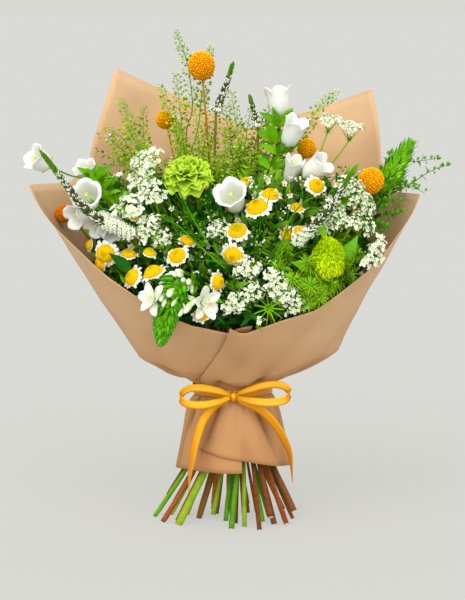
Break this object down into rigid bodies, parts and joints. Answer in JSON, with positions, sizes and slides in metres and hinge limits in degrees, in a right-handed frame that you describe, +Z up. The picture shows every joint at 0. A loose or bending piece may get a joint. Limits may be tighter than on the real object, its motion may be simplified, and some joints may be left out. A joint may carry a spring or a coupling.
{
  "type": "mixed flower bouquet in paper wrap",
  "caption": "Hand-tied bunch of mixed fresh flowers and foliage in two sheets of kraft paper, tied with a satin ribbon bow, standing on its splayed cut stems.",
  "frame": {"origin": "the flat cut end of the stem that runs through the middle of the tie, on the surface the bunch stands on", "axes": "+Z up along the bunch, -Y toward the front with the bow, +X to the right of someone facing the front"},
  "size_m": [0.4601, 0.3012, 0.5363],
  "materials": {
    "kraft_paper": "tan kraft paper, matt, with soft pleats and creases, a little darker inside",
    "satin_ribbon": "golden yellow satin with a soft sheen",
    "twine": "matt natural twine",
    "green_stem": "fresh green stems, faintly ribbed, matt",
    "woody_stem": "thin red-brown woody stems with green leaves or pods",
    "craspedia_head": "orange-yellow balls of tiny florets, matt",
    "bell_petal": "white petals with faint green veins, soft sheen",
    "feverfew": "short white rays round a domed yellow disc on green stalks",
    "lime_petal": "pale lime ruffled petals",
    "green_bract": "fuzzy lime green bracts",
    "star_petal": "white petals with a green stripe behind",
    "green_bud": "pale green buds and flower bases",
    "veronica_spike": "dark and white buds along a green-tipped spike",
    "lace_floret": "small white florets on thin green stalks",
    "leaf": "dark green leaves, soft sheen",
    "feathery_leaf": "bright green fine foliage"
  },
  "bodies": {
    "root": {"paper_sheet_left": "kraft_paper", "paper_sheet_right": "kraft_paper", "ribbon": "satin_ribbon", "binding_twine": "twine", "craspedia_stem_1": "green_stem", "craspedia_head_1": "craspedia_head", "craspedia_stem_2": "green_stem", "craspedia_head_2": "craspedia_head", "craspedia_stem_3": "green_stem", "craspedia_head_3": "craspedia_head", "craspedia_stem_4": "green_stem", "craspedia_head_4": "craspedia_head", "craspedia_stem_5": "green_stem", "craspedia_head_5": "craspedia_head", "campanula_stem_right": "green_stem", "campanula_stem_left": "green_stem", "campanula_stem_centre": "green_stem", "carnation_stem": "green_stem", "campanula_bell_1": "bell_petal", "campanula_bell_2": "bell_petal", "campanula_bell_3": "bell_petal", "campanula_bell_4": "bell_petal", "campanula_bell_5": "bell_petal", "campanula_bell_6": "bell_petal", "campanula_bell_7": "bell_petal", "campanula_bell_8": "bell_petal", "campanula_bell_9": "bell_petal", "campanula_bell_10": "bell_petal", "campanula_bell_11": "bell_petal", "carnation_head": "lime_petal", "green_trick": "green_bract", "ornithogalum_front": "green_bud", "ornithogalum_right": "green_bud", "ornithogalum_star_left": "star_petal", "ornithogalum_star_right": "star_petal", "waxflower": "star_petal", "feverfew_spray_centre": "feverfew", "feverfew_spray_right": "feverfew", "feverfew_spray_left": "feverfew", "feverfew_spray_front": "feverfew", "veronica_left": "veronica_spike", "veronica_top": "veronica_spike", "veronica_small": "veronica_spike", "veronica_right": "veronica_spike", "lace_left": "lace_floret", "lace_right": "lace_floret", "lace_edge": "lace_floret", "lace_low": "lace_floret", "lace_top": "lace_floret", "lace_back": "lace_floret", "thlaspi_left": "woody_stem", "thlaspi_far_left": "woody_stem", "thlaspi_centre": "woody_stem", "vine": "leaf", "grass": "leaf", "dark_leaves_left": "leaf", "dark_leaves_right": "leaf", "front_leaves": "leaf", "feathery_green": "feathery_leaf"}
  },
  "joints": []
}
